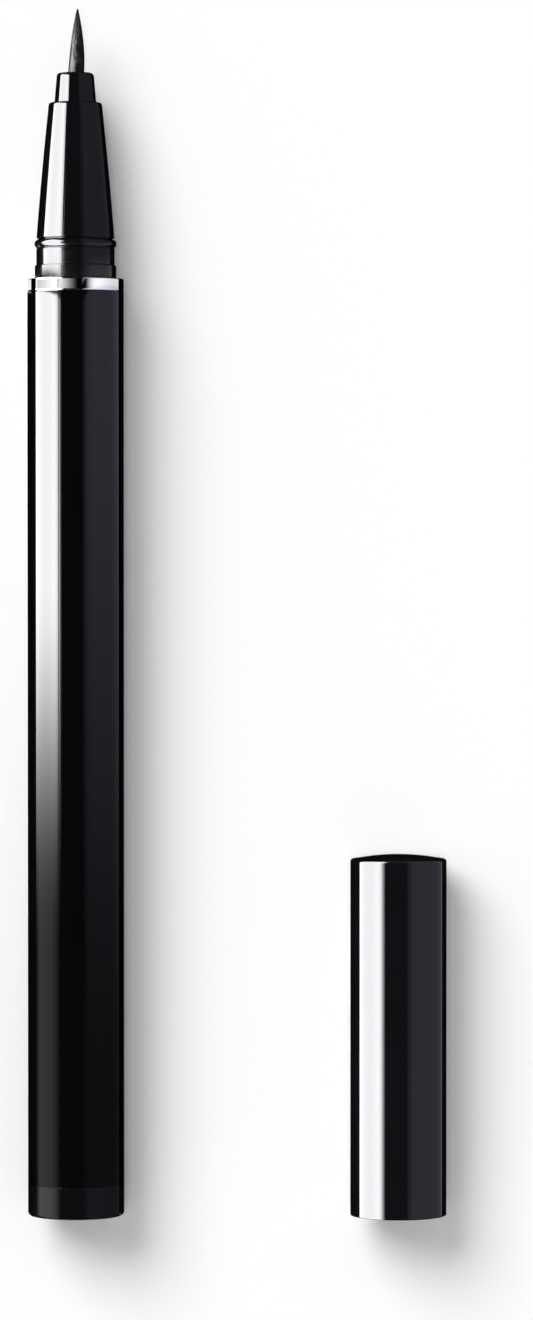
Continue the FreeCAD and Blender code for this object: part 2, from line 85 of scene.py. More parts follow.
def outline(corners, run=1.6, steps=7):
    """Outline of a turned piece as points (radius, station), with the material on its left.

    Each corner (radius, station, edge) is cut by an arc of the edge radius that touches both of its runs:
    the centre lies on the bisector at edge / sin(half the corner's angle), and the arc starts at
    edge / tan(half the angle) from the corner. An edge of 0 keeps the corner. Runs get a point close to
    each end, so that they shade flat, and others at most one run apart.
    """
    at = np.array([radius + 1j * station for radius, station, edge in corners])
    on_axis = corners[0][0] == 0 and corners[-1][0] == 0
    bends = []
    for i, (radius, station, edge) in enumerate(corners):
        if edge == 0 or (on_axis and i in (0, len(at) - 1)):
            bends.append(at[i:i + 1])
            continue
        back = at[i - 1] - at[i]
        ahead = at[(i + 1) % len(at)] - at[i]
        back, ahead = back / abs(back), ahead / abs(ahead)
        half = abs(np.angle(ahead / back)) / 2
        middle = (back + ahead) / abs(back + ahead)
        centre = at[i] + middle * edge / math.sin(half)
        start = at[i] + back * edge / math.tan(half) - centre
        end = at[i] + ahead * edge / math.tan(half) - centre
        bends.append(centre + start * np.exp(1j * np.angle(end / start) * np.linspace(0, 1, steps)))
    line = []
    for bend, after in zip(bends, bends[1:] + [None if on_axis else bends[0]]):
        line.append(bend)
        if after is None:
            continue
        length = abs(after[0] - bend[-1])
        if length > SHORT_RUN:
            near = min(NEAR_CORNER, length / 4)
            count = 2 + int((length - 2 * near) // run)
            shares = np.linspace(near, length - near, count) / length
            line.append(bend[-1] + (after[0] - bend[-1]) * shares)
    line = np.concatenate(line)
    return np.stack([line.real, line.imag], axis=1)


def bow(start, end, rise, count=13):
    """Corners along a circular arc from start to end that bulges by rise to the right of its chord.

    With half chord c and rise h, the radius is (c^2 + h^2) / 2h, and the bulge at a share s from -1 to 1
    of the half chord is sqrt(radius^2 - (s c)^2) - (radius - h).
    """
    start, end = complex(*start), complex(*end)
    half = abs(end - start) / 2
    radius = (half ** 2 + rise ** 2) / (2 * rise)
    share = np.linspace(-1, 1, count)
    bulge = np.sqrt(radius ** 2 - (share * half) ** 2) - (radius - rise)
    along = (end - start) / abs(end - start)
    line = (start + end) / 2 + along * (share * half - 1j * bulge)
    return [(float(z.real), float(z.imag), 0) for z in line]


def grid_faces(rows, columns, first=0, closed=False):
    """Quads of a grid whose columns run once round, and whose rows close on themselves if told so."""
    row = np.arange(rows if closed else rows - 1)[:, None]
    column = np.arange(columns)[None, :]
    after = (column + 1) % columns
    above = (row + 1) % rows
    quads = [row * columns + column, row * columns + after, above * columns + after, above * columns + column]
    return first + np.stack(quads, axis=-1).reshape(-1, 4)


def turned(points, axis_x, start_y, around=160):
    """Surface of revolution of an outline about a line along +Y.

    A point (radius, station) at the angle a goes to (radius sin a, station, radius cos a) from the axis.
    An outline that starts and ends on the axis gets one point at each pole. Any other is a closed loop.
    """
    poles = points[0, 0] == 0 and points[-1, 0] == 0
    body = points[1:-1] if poles else points
    angle = np.arange(around) * 2 * math.pi / around
    radius, station = body[:, :1], body[:, 1:]
    grid = np.stack([
        axis_x + radius * np.sin(angle),
        start_y + station + 0 * angle,
        AXIS_Z + radius * np.cos(angle),
    ], axis=-1).reshape(-1, 3)
    faces = grid_faces(len(body), around, closed=not poles).tolist()
    if poles:
        column = np.arange(around)
        after = (column + 1) % around
        low, high = len(grid), len(grid) + 1
        last = (len(body) - 1) * around
        faces += np.stack([np.full(around, low), after, column], axis=1).tolist()
        faces += np.stack([last + column, last + after, np.full(around, high)], axis=1).tolist()
        ends = [[axis_x, start_y + points[i, 1], AXIS_Z] for i in (0, -1)]
        grid = np.concatenate([grid, ends])
    return grid, faces


def brush_radius(station):
    """Radius of the brush: a circular arc from the full radius at the collar down to the point."""
    length = POINT - BRUSH
    drop = BRUSH_RADIUS - BRUSH_POINT_RADIUS
    round_radius = (length ** 2 + drop ** 2) / (2 * drop)
    along = np.clip(station - BRUSH, 0, length)
    return np.sqrt(round_radius ** 2 - along ** 2) - round_radius + BRUSH_RADIUS


def brush_lean(station, lean=0.25, length=2.2, inside=1.0):
    """Sideways drift of the brush, which starts that far inside the collar.

    At the distance d from its start it is lean (1 - exp(-d / length)).
    """
    return lean * (1 - np.exp(-np.clip(station - BRUSH + inside, 0, None) / length))


def filaments(count=260, rows=10, sides=5, inside=0.5, shortest=0.24, wander=0.16, half_width=0.056):
    """Tapered filaments packed side by side, and a value from 0 to 1 that each of them keeps.

    Filament i stands at the share sqrt((i + 0.5) / count) of the brush's radius and at i golden angles, so
    that all cover equal areas. It starts inside the collar and follows the shrinking radius to its own end,
    which falls short of the point by up to the shortest share of the length. It thins with that radius, and
    wanders round the axis by up to that angle on its way.
    """
    rng = np.random.default_rng(7)
    number = np.arange(count)
    share = np.sqrt((number + 0.5) / count)[:, None]
    place = (number * math.pi * (3 - math.sqrt(5)))[:, None]
    chance, phase, value = rng.random((3, count, 1))
    way = np.linspace(0, 1, rows)[None, :]
    root = BRUSH - inside
    end = POINT - 0.02 - (POINT - BRUSH) * shortest * chance ** 2 * share
    station = root + (end - root) * way
    around = place + wander * way * np.sin(2 * math.pi * (0.8 * way + phase))
    full = brush_radius(station)
    half = half_width * (full / BRUSH_RADIUS) ** 0.55 * (1 - 0.9 * way ** 7)
    reach = share * np.maximum(full - half, 0.01)
    centre = np.stack([PEN_X + brush_lean(station) + reach * np.sin(around), TAIL_Y + station,
                       AXIS_Z + reach * np.cos(around)], axis=-1)
    ring = np.arange(sides) * 2 * math.pi / sides
    out = np.stack([np.sin(ring), 0 * ring, np.cos(ring)], axis=-1)
    points = centre[:, :, None, :] + half[:, :, None, None] * out
    faces = (np.arange(count) * rows * sides)[:, None, None] + grid_faces(rows, sides)[None]
    tips = ((np.arange(count) + 1) * rows * sides - sides)[:, None] + np.arange(sides)[None]
    roots = (np.arange(count) * rows * sides)[:, None] + np.arange(sides)[None, ::-1]
    faces = faces.reshape(-1, 4).tolist() + tips.tolist() + roots.tolist()
    return points.reshape(-1, 3), faces, np.repeat(value[:, 0], rows * sides)


def coil(turns=5, radius=3.0, wire=0.25, low=28.77, high=37.63, rows_per_turn=36, sides=12):
    """Round wire along a helix about the axis of the cap, closed at both ends.

    The centre line turns at an even rate while its station rises evenly. The wire's circle lies in the
    plane of the outward direction and of the direction square to it and to the wire.
    """
    rows = turns * rows_per_turn + 1
    share = np.linspace(0, 1, rows)
    angle = 2 * math.pi * turns * share
    outward = np.stack([np.cos(angle), 0 * angle, -np.sin(angle)], axis=-1)
    centre = radius * outward + np.stack([0 * angle, low + (high - low) * share, 0 * angle], axis=-1)
    centre += [CAP_X, TAIL_Y, AXIS_Z]
    rise = (high - low) / (2 * math.pi * turns)
    forward = np.stack([-radius * np.sin(angle), rise + 0 * angle, -radius * np.cos(angle)], axis=-1)
    forward /= np.linalg.norm(forward, axis=-1, keepdims=True)
    square = np.cross(forward, outward)
    ring = (np.arange(sides) * 2 * math.pi / sides)[None, :, None]
    points = centre[:, None] + wire * (np.cos(ring) * outward[:, None] + np.sin(ring) * square[:, None])
    last = (rows - 1) * sides
    faces = grid_faces(rows, sides).tolist()
    faces += [list(range(sides))[::-1], list(range(last, last + sides))]
    return points.reshape(-1, 3), faces


# ---------------------------------------------------------------- finishes

class Wire:
    """A socket of a finish. Arithmetic with it adds Math nodes to that finish."""

    def __init__(self, finish, socket):
        self.finish, self.socket = finish, socket

    def math(self, operation, *values):
        return self.finish.node("ShaderNodeMath", {"operation": operation}, dict(enumerate(values)))

    def __add__(self, other):
        return self.math("ADD", self, other)

    def __rsub__(self, other):
        return self.math("SUBTRACT", other, self)

    def __mul__(self, other):
        return self.math("MULTIPLY", self, other)

    def __pow__(self, other):
        return self.math("POWER", self, other)

    __radd__ = __add__
    __rmul__ = __mul__


class Finish:
    """A material, or the world, that is built up node by node."""

    def __init__(self, name, library=bpy.data.materials):
        self.owner = library.new(name)
        self.owner.use_nodes = True
        self.tree = self.owner.node_tree
        self.tree.nodes.clear()

    def node(self, kind, settings=None, sockets=None, output=0):
        """Add a node of that kind: its settings first, then the values or links of its sockets."""
        node = self.tree.nodes.new(kind)
        for name, value in (settings or {}).items():
            setattr(node, name, value)
        for name, value in (sockets or {}).items():
            if isinstance(value, Wire):
                self.tree.links.new(value.socket, node.inputs[name])
            else:
                node.inputs[name].default_value = value
        return Wire(self, node.outputs[output]) if node.outputs else None

    def place(self, stretch=(1, 1, 1)):
        """Object coordinates in millimetres, each stretched by a number."""
        here = self.node("ShaderNodeTexCoord", output="Object")
        return self.node("ShaderNodeMapping", {"vector_type": "POINT"}, {
            "Vector": here,
            "Scale": [k / MM for k in stretch],
        })

    def noise(self, place, per_mm, detail):
        """Even noise from 0 to 1 with that many waves to the millimetre."""
        return self.node("ShaderNodeTexNoise", {}, {"Vector": place, "Scale": per_mm, "Detail": detail})

    def span(self, value, low, high):
        """0 where the value is at low, 1 where it is at high, smooth between them."""
        return self.node("ShaderNodeMapRange", {"interpolation_type": "SMOOTHSTEP"},
                         {"Value": value, "From Min": low, "From Max": high})

    def band(self, value, low, high, soft):
        """1 between low and high, falling smoothly to 0 over a soft distance inside both of them."""
        return self.span(value, low, low + soft) * (1 - self.span(value, high - soft, high))

    def axis(self, place, name):
        """One of the three coordinates of a place."""
        return self.node("ShaderNodeSeparateXYZ", {}, {0: place}, name)

    def mix(self, factor, first, second):
        """Colour between two others."""
        return self.node("ShaderNodeMix", {"data_type": "RGBA"}, {0: factor, 6: first, 7: second}, 2)

    def bump(self, height, depth_mm):
        """Normals of a relief whose height runs from 0 to 1 over that many millimetres."""
        return self.node("ShaderNodeBump", {}, {"Strength": 1.0, "Distance": depth_mm * MM, "Height": height})

    def surface(self, **sockets):
        """Close the finish with one shader; its sockets are named with _ for a space."""
        return self.close(self.node("ShaderNodeBsdfPrincipled", {}, {
            name.replace("_", " "): value for name, value in sockets.items()}))

    def close(self, shader, output="ShaderNodeOutputMaterial"):
        """Link the shader to the output, and give back the material or the world."""
        self.node(output, {}, {"Surface": shader})
        return self.owner


def gloss_black(name, rub=None, index=1.4, painted_light_scale=1.0):
    """Polished black moulding: a deep black that drifts to violet, a faint peel in the polish, and hairlines.

    rub gives stations, in millimetres along Y, between which the cap's snap has dulled the polish. A scale
    below 1 darkens the black as painted shade, and one above 1 lightens it as painted light.
    """
    finish = Finish(name)
    here = finish.place()
    clouds = finish.noise(here, 0.11, 3.0)
    peel = finish.noise(here, 1.1, 1.0)
    hairs = finish.span(finish.noise(finish.place(stretch=(1, 0.02, 1)), 5.0, 3.0), 0.62, 0.78)
    rough = 0.03 + 0.035 * clouds + 0.05 * hairs
    if rub:
        marks = finish.noise(finish.place(stretch=(0.06, 1, 0.06)), 6.0, 3.0)
        rough = rough + 0.16 * marks * finish.band(finish.axis(here, "Y"), *rub, 0.5)
    # Painted light and shade: the scale darkens or lightens the whole black of a piece for the light it gets.
    colour = finish.mix(clouds, (0.0030 * painted_light_scale, 0.0030 * painted_light_scale, 0.0034 * painted_light_scale, 1),
                        (0.0052 * painted_light_scale, 0.0047 * painted_light_scale, 0.0064 * painted_light_scale, 1))
    return finish.surface(Base_Color=colour, Roughness=rough, IOR=index, Specular_Tint=(0.99, 0.975, 1.0, 1),
                          Normal=finish.bump(peel, 0.0016))


def bright_plating(name):
    """Bright plating over a turned ring: fine lines round it, and a little haze."""
    finish = Finish(name)
    lines = finish.noise(finish.place(stretch=(0.01, 1, 0.01)), 22.0, 2.0)
    haze = finish.noise(finish.place(), 0.7, 2.0)
    colour = finish.mix(haze, (0.84, 0.84, 0.855, 1), (0.93, 0.93, 0.94, 1))
    return finish.surface(Base_Color=colour, Metallic=1.0, Roughness=0.012 + 0.012 * lines + 0.012 * haze,
                          Normal=finish.bump(lines, 0.00005))


def wet_filament(name):
    """Brush filaments wet with ink: black, with streaks and patches that are nearly dry and grey."""
    finish = Finish(name)
    value = finish.node("ShaderNodeAttribute", {"attribute_name": "filament"}, {}, "Fac")
    streak = finish.noise(finish.place(stretch=(1, 0.2, 1)), 6.0, 3.0)
    patch = finish.noise(finish.place(stretch=(1, 0.6, 1)), 2.2, 2.0)
    dry = finish.span(0.3 * value + 0.6 * streak + 0.7 * patch, 0.72, 1.02)
    colour = finish.mix(dry, (0.0015, 0.0015, 0.0018, 1), (0.016, 0.016, 0.016, 1))
    return finish.surface(Base_Color=colour, Roughness=0.3 + 0.24 * dry, IOR=1.3,
                          Normal=finish.bump(streak + patch, 0.06))


def wick_fibre(name):
    """Bonded fibres soaked with ink, in long streaks."""
    finish = Finish(name)
    streak = finish.noise(finish.place(stretch=(1, 0.05, 1)), 7.0, 4.0)
    colour = finish.mix(streak, (0.012, 0.012, 0.014, 1), (0.075, 0.075, 0.08, 1))
    return finish.surface(Base_Color=colour, Roughness=0.6 + 0.25 * streak, Normal=finish.bump(streak, 0.02))


def natural_plastic(name):
    """Undyed moulding: milky, a little uneven, with a fine satin grain."""
    finish = Finish(name)
    clouds = finish.noise(finish.place(), 0.25, 3.0)
    grain = finish.noise(finish.place(), 9.0, 2.0)
    colour = finish.mix(clouds, (0.58, 0.58, 0.555, 1), (0.66, 0.66, 0.645, 1))
    return finish.surface(Base_Color=colour, Roughness=0.3 + 0.14 * grain, IOR=1.49,
                          Normal=finish.bump(grain, 0.002))


def seal_rubber(name):
    """Smooth black rubber with a dusty bloom."""
    finish = Finish(name)
    bloom = finish.noise(finish.place(), 0.8, 4.0)
    grain = finish.noise(finish.place(), 12.0, 2.0)
    colour = finish.mix(bloom, (0.022, 0.022, 0.022, 1), (0.042, 0.042, 0.04, 1))
    return finish.surface(Base_Color=colour, Roughness=0.5 + 0.25 * bloom, Normal=finish.bump(grain, 0.004))


def steel(name):
    """Bright steel with fine drawing marks."""
    finish = Finish(name)
    marks = finish.noise(finish.place(stretch=(0.3, 1, 0.3)), 11.0, 3.0)
    colour = finish.mix(marks, (0.55, 0.55, 0.57, 1), (0.66, 0.66, 0.68, 1))
    return finish.surface(Base_Color=colour, Metallic=1.0, Roughness=0.16 + 0.16 * marks,
                          Normal=finish.bump(marks, 0.002))


# Painted shade: the barrel gets a darker copy of the gloss black, for the dimmer light along it.
BARREL_BLACK_PAINTED_SHADE = gloss_black("barrel_gloss_black_painted_shade", painted_light_scale=0.5)
PLUG_BLACK = gloss_black("tail_plug_gloss_black", index=1.62)
NOSE_BLACK = gloss_black("nose_gloss_black", rub=(TAIL_Y + SEAT, TAIL_Y + GROOVE))
# Painted light: the cap gets a lighter copy of the gloss black, for the brighter light it gets.
CAP_BLACK_PAINTED_LIGHT = gloss_black("cap_gloss_black_painted_light", painted_light_scale=1.3)
RING_PLATING = bright_plating("ring_bright_plating")
BRUSH_FIBRE = wet_filament("brush_wet_filaments")
WICK_FIBRE = wick_fibre("wick_soaked_fibre")
MILKY_PLASTIC = natural_plastic("natural_milky_plastic")
SEAL_RUBBER = seal_rubber("seal_black_rubber")
STEEL = steel("spring_and_ball_steel")


# ---------------------------------------------------------------- pieces

def add_piece(name, body, node, slot, finish, points, faces):
    """Put a surface into the scene as the piece that stands for a node of the solids."""
    mesh = bpy.data.meshes.new(name)
    mesh.from_pydata((np.asarray(points) * MM).tolist(), [], faces)
    mesh.shade_smooth()
    mesh.materials.append(finish)
    piece = bpy.data.objects.new(name, mesh)
    bpy.context.scene.collection.objects.link(piece)
    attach(piece, body)
    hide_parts(node)
    return piece


def pen_piece(name, node, slot, finish, corners, around=160, **spacing):
    """Turned piece of the pen."""
    surface = turned(outline(corners, **spacing), PEN_X, TAIL_Y, around)
    return add_piece(name, "pen", node, slot, finish, *surface)


def cap_piece(name, body, node, slot, finish, corners, around=160, **spacing):
    """Turned piece of the cap, which rides on the cap or on the cup inside it."""
    surface = turned(outline(corners, **spacing), CAP_X, TAIL_Y, around)
    return add_piece(name, body, node, slot, finish, *surface)


pen_piece("barrel_tube", "barrel", "gloss_black", BARREL_BLACK_PAINTED_SHADE, [
    (BARREL_BORE, SEAM, 0.05),
    (BARREL_RADIUS, SEAM, 0.02),
    (BARREL_RADIUS, RING_BACK, 0.06),
    (BARREL_BORE, RING_BACK, 0.05),
])

pen_piece("tail_end_plug", "tail_plug", "gloss_black", PLUG_BLACK, [
    (0, 0.05, 0),
    (0.55, 0.05, 0.04),
    (0.62, 0, 0.04),
    (BARREL_RADIUS, 0, 0.4),
    (BARREL_RADIUS, SEAM - 0.01, 0.02),
    (SPIGOT_RADIUS, SEAM - 0.01, 0.03),
    (SPIGOT_RADIUS, PLUG_FRONT, 0.05),
    (PLUG_BORE, PLUG_FRONT, 0.05),
    (PLUG_BORE, PLUG_FLOOR, 0.1),
    (0, PLUG_FLOOR, 0),
])

pen_piece("bright_ring", "trim_ring", "bright_plating", RING_PLATING, [
    (BARREL_BORE, RING_BACK, 0.05),
    (BARREL_RADIUS, RING_BACK, 0.1),
    (BARREL_RADIUS, SEAT, 0.1),
    (BARREL_BORE, SEAT, 0.05),
], run=0.25)

pen_piece("nose_section", "nose_cone", "gloss_black", NOSE_BLACK, [
    (NOSE_BORE, NOSE_BACK, 0.05),
    (SPIGOT_RADIUS, NOSE_BACK, 0.05),
    (SPIGOT_RADIUS, SEAT, 0.02),
    (4.18, SEAT, 0.02),
    (SEAT_RADIUS, SEAT + 0.13, 0.05),
    (SEAT_RADIUS, NECK, 0.06),
    (NECK_RADIUS, NECK + 0.03, 0.05),
    (NECK_RADIUS, BEAD - 0.18, 0.03),
    (4.14, BEAD - 0.04, 0.03),
    *bow((4.2, BEAD), (4.22, GROOVE), 0.21),
    (GROOVE_RADIUS, GROOVE + 0.11, 0.03),
    (GROOVE_RADIUS, CONE - 0.09, 0.03),
    (CONE_RADIUS, CONE, 0.06),
    *bow((CONE_RADIUS, CONE), (CONE_TIP_RADIUS, COLLAR), 0.055)[1:-1],
    (CONE_TIP_RADIUS, COLLAR, 0.3),
    (COLLAR_SOCKET, COLLAR, 0.05),
    (COLLAR_SOCKET, BRUSH_ROOT, 0.05),
    (NOSE_BORE, CONE, 0.2),
])

pen_piece("brush_collar", "tip_collar", "gloss_black", NOSE_BLACK, [
    (COLLAR_BORE, COLLAR_BACK, 0.03),
    (COLLAR_SPIGOT, COLLAR_BACK, 0.05),
    (COLLAR_SPIGOT, COLLAR, 0.02),
    (2.25, COLLAR, 0.06),
    (1.975, BRUSH, 0.4),
    (COLLAR_BORE, BRUSH, 0.12),
], around=120, run=0.6)

cap_piece("cap_outer", "cap", "cap_shell", "gloss_black", CAP_BLACK_PAINTED_LIGHT, [
    (0, CAP_FLOOR, 0),
    (CAP_BORE, CAP_FLOOR, 0.1),
    *bow((CAP_BORE, SNAP_BACK), (CAP_BORE, SNAP_FRONT), 0.12),
    (CAP_BORE, 0.25, 0.05),
    (4.75, 0, 0.05),
    (CAP_RADIUS, 0, 0.1),
    (CAP_RADIUS, CAP_SHOULDER, 0.28),
    *bow((4.92, CAP_SHOULDER), (0.0, CAP_END), 0.1252)[1:],
])

cap_piece("cap_guide_sleeve", "cap", "cap_sleeve", "natural_plastic", MILKY_PLASTIC, [
    (CUP_GUIDE_BORE, SLEEVE_MOUTH, 0.12),
    (SLEEVE_RADIUS, SLEEVE_MOUTH, 0.12),
    (SLEEVE_RADIUS, CAP_FLOOR, 0.05),
    (SPRING_BORE, CAP_FLOOR, 0.05),
    (SPRING_BORE, SLEEVE_STEP, 0.05),
    (CUP_GUIDE_BORE, SLEEVE_STEP, 0.05),
], around=120)

cap_piece("brush_sealing_cup", "seal_cup", "inner_cap", "natural_plastic", MILKY_PLASTIC, [
    (0, CUP_FLOOR, 0),
    (CUP_BORE, CUP_FLOOR, 0.3),
    (CUP_BORE, 17.85, 0.1),
    (2.8, CUP_LIP, 0.05),
    (CUP_RADIUS, CUP_LIP, 0.08),
    (CUP_RADIUS, SLEEVE_STEP, 0.03),
    (FLANGE_RADIUS, SLEEVE_STEP, 0.08),
    (FLANGE_RADIUS, CUP_FLANGE, 0.08),
    (CUP_END_RADIUS, CUP_FLANGE, 0.03),
    (CUP_END_RADIUS, CUP_END, 0.2),
    (0, CUP_END, 0),
], around=120)

spring = add_piece("cup_spring", "cap", "cap_spring", "steel", STEEL, *coil())
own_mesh(spring)


def add_brush():
    """Brush in one piece: its fused root and stem, a solid core under the filaments, and the filaments."""
    share = np.linspace(0, 1, 16)
    along = BRUSH - 0.2 + (POINT - 0.3 - BRUSH + 0.2) * share
    core = [(float(r), float(s), 0) for r, s in zip((0.985 - 0.16 * share ** 3) * brush_radius(along), along)]
    points, faces = turned(outline([
        (0, BRUSH_ROOT, 0),
        (BRUSH_ROOT_RADIUS, BRUSH_ROOT, 0.06),
        (BRUSH_ROOT_RADIUS, COLLAR_BACK, 0.06),
        (BRUSH_RADIUS, COLLAR_BACK, 0.03),
        (BRUSH_RADIUS, BRUSH - 0.4, 0.05),
        *core,
        (0, POINT - 0.25, 0),
    ]), PEN_X, TAIL_Y, 48)
    points[:, 0] += brush_lean(points[:, 1] - TAIL_Y)
    hairs, hair_faces, value = filaments()
    faces += [[i + len(points) for i in face] for face in hair_faces]
    piece = add_piece("brush_filaments", "pen", "brush_tip", "brush_fibre", BRUSH_FIBRE,
                      np.concatenate([points, hairs]), faces)
    mark = piece.data.attributes.new("filament", "FLOAT", "POINT")
    mark.data.foreach_set("value", np.concatenate([np.full(len(points), 0.5), value]).astype(np.float32))


add_brush()

for node, finish in {
    "feed_wick": WICK_FIBRE, "ink_collector": MILKY_PLASTIC, "ink_tank": MILKY_PLASTIC,
    "tank_stopper": MILKY_PLASTIC, "tank_seal": SEAL_RUBBER, "mixing_ball": STEEL,
}.items():
    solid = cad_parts[node].data
    solid.materials.clear()
    solid.materials.append(finish)


# ---------------------------------------------------------------- floor, light and camera

def add_card(name, corners, material, glossy_only=True):
    """Flat four-cornered card in millimetres; a glossy-only one shows in reflections and nowhere else."""
    mesh = bpy.data.meshes.new(name)
    mesh.from_pydata((np.array(corners) * MM).tolist(), [], [[0, 1, 2, 3]])
    mesh.materials.append(material)
    card = bpy.data.objects.new(name, mesh)
    bpy.context.scene.collection.objects.link(card)
    if glossy_only:
        card.visible_camera = card.visible_diffuse = card.visible_transmission = False
        card.visible_volume_scatter = card.visible_shadow = False
    return card


def pale_floor():
    """Dull white paper."""
    finish = Finish("floor_pale_paper")
    tooth = finish.noise(finish.place(), 0.8, 2.0)
    colour = finish.mix(tooth, (0.945, 0.945, 0.945, 1), (0.955, 0.955, 0.955, 1))
    return finish.surface(Base_Color=colour, Roughness=1.0, Specular_IOR_Level=0.0)


def black_cloth():
    """Dull black cloth."""
    finish = Finish("card_black_cloth")
    weave = finish.noise(finish.place(), 1.0, 2.0)
    colour = finish.mix(weave, (0.001, 0.001, 0.001, 1), (0.003, 0.003, 0.003, 1))
    return finish.surface(Base_Color=colour, Roughness=1.0, Specular_IOR_Level=0.0)


def one_sided(finish, level, shade, peak):
    """Let a card shine from its front, at a level from 0 to 1 of the peak, and be clear from its back."""
    colour = finish.mix(level, (0, 0, 0, 1), shade)
    light = finish.node("ShaderNodeEmission", {}, {"Color": colour, "Strength": peak})
    clear = finish.node("ShaderNodeBsdfTransparent")
    back = finish.node("ShaderNodeNewGeometry", output="Backfacing")
    return finish.close(finish.node("ShaderNodeMixShader", {}, {0: back, 1: light, 2: clear}))


# Strength of the strip lights, their glow by the tail, and what they lose where the ring sees them
STRIP_PEAK, STRIP_GLOW, RING_DIP = 35.3, 0.027, 0.97


def strip_light(name, top, ends, fade=None, ring=None):
    """Strip light that fades out between two heights at its top and between two stations at its far end.

    It is weaker near the floor. Stations are in millimetres along Y. Below those of the fade there is only a
    soft glow. Between those of the ring it is much weaker, because plating throws back more light.
    """
    finish = Finish(name)
    here = finish.place()
    height, along = finish.axis(here, "Z"), finish.axis(here, "Y")
    level = (1 - finish.span(height, *top)) * (0.57 + 0.5 * finish.span(height, -10.0, 44.0))
    level = level * (1 - finish.span(along, *ends))
    if fade:
        near = finish.span(along, *fade) ** 2.4
        glow = finish.span(height, 0.0, 9.0) * (1 - finish.span(height, 18.0, 46.0))
        level = near * level + STRIP_GLOW * (1 - near) * glow
    if ring:
        level = level * (1 - RING_DIP * finish.band(along, *ring, 0.2))
    return one_sided(finish, level, (1.0, 0.995, 1.0, 1), STRIP_PEAK)


def side_card(name, peak, fade=None, ring=None, dim=None):
    """Grey card: darker near the floor and at its top, weaker below the fade, and dim above the dim stations.

    Stations are in millimetres along Y. Between those of the ring it is white, and lower.
    """
    finish = Finish(name)
    here = finish.place()
    height, along = finish.axis(here, "Z"), finish.axis(here, "Y")
    level = (0.7 + 0.3 * finish.span(height, 0.0, 22.0)) * (1 - 0.94 * finish.span(height, 30.0, SIDE_TOP))
    if fade:
        level = level * (0.12 + 0.88 * finish.span(along, *fade))
    if dim:
        level = level * (1 - 0.6 * finish.span(along, *dim))
    shade = (0.85, 0.82, 1.0, 1)
    if ring:
        near_ring = finish.band(along, *ring, 0.5)
        level = level * (1 - near_ring * finish.span(height, 22.0, 52.0))
        shade = finish.mix(near_ring, shade, (1.1, 1.09, 1.11, 1))
    return one_sided(finish, level, shade, peak)


def behind_card(name):
    """Card that rises from black close behind the ends of the pen and the cap to grey further back."""
    finish = Finish(name)
    along = finish.axis(finish.place(), "Y")
    return one_sided(finish, 1 - finish.span(along, -105.0, PAST_TAIL), (1, 1, 1, 1), 0.3)


def white_card(name):
    """Evenly lit card, a little dimmer in soft clouds."""
    finish = Finish(name)
    return one_sided(finish, 0.9 + 0.1 * finish.noise(finish.place(), 0.3, 2.0), (1, 1, 1, 1), 1.0)


def over_card(name):
    """Card that is bright by the strip light and fades to nothing over the pen."""
    finish = Finish(name)
    across = finish.axis(finish.place(), "X")
    return one_sided(finish, 1 - finish.span(across, PEN_X - 26.0, PEN_X + 4.3), (1, 1, 1, 1), 1.0)


def upright(x, y_low, y_high, z_low, z_high):
    """Corners of an upright card that faces +X, or -X where y_low is above y_high."""
    return [(x, y_low, z_low), (x, y_high, z_low), (x, y_high, z_high), (x, y_low, z_high)]


def level_card(x_low, x_high, y_low, y_high, z):
    """Corners of a level card that faces up."""
    return [(x_low, y_low, z), (x_high, y_low, z), (x_high, y_high, z), (x_low, y_high, z)]


def hood(axis_x, y_low, y_high, out=2.5, up=5.83, length=18.0, lean=math.radians(39.0)):
    """Corners of a card that leans from just over a round piece's left shoulder towards its strip light."""
    x_foot, z_foot = axis_x - out, AXIS_Z + up
    x_head, z_head = x_foot - length * math.sin(lean), z_foot + length * math.cos(lean)
    return [(x_foot, y_low, z_foot), (x_foot, y_high, z_foot),
            (x_head, y_high, z_head), (x_head, y_low, z_head)]


def end_card(y, x_low=-400, x_high=200, z_low=-1, z_high=150):
    """Corners of an upright card across the ends of the pen and the cap."""
    return [(x_low, y, z_low), (x_high, y, z_low), (x_high, y, z_high), (x_low, y, z_high)]


def tray(x_low, x_high, y_low, y_high, z_low=-1.0, z_high=-5.0):
    """Corners of a card under the floor that slopes down from x_low to x_high."""
    return [(x_low, y_low, z_low), (x_high, y_low, z_high), (x_high, y_high, z_high), (x_low, y_high, z_low)]


# Cards' places in millimetres: out from an axis along X, along Y, and up
STRIP_OUT, GAP_STRIP_OUT, SIDE_OUT = 25.4, 40.4, 20.8
CARD_BACK, PAST_TAIL, FAR_AHEAD, FAR_BEHIND = -100.0, -69.0, 150.0, -160.0
STRIP_FOOT, STRIP_TOP, GAP_STRIP_TOP, SIDE_TOP = 1.2, 50.0, 78.0, 74.0
HOOD_END, OVER_Z, FLOOR_REACH = 110.0, 36.4, 15000.0

floor = add_card("pale_floor", level_card(-FLOOR_REACH, FLOOR_REACH, -FLOOR_REACH, FLOOR_REACH, -0.02),
                 pale_floor(), glossy_only=False)
floor.visible_glossy = False
CLOTH = black_cloth()

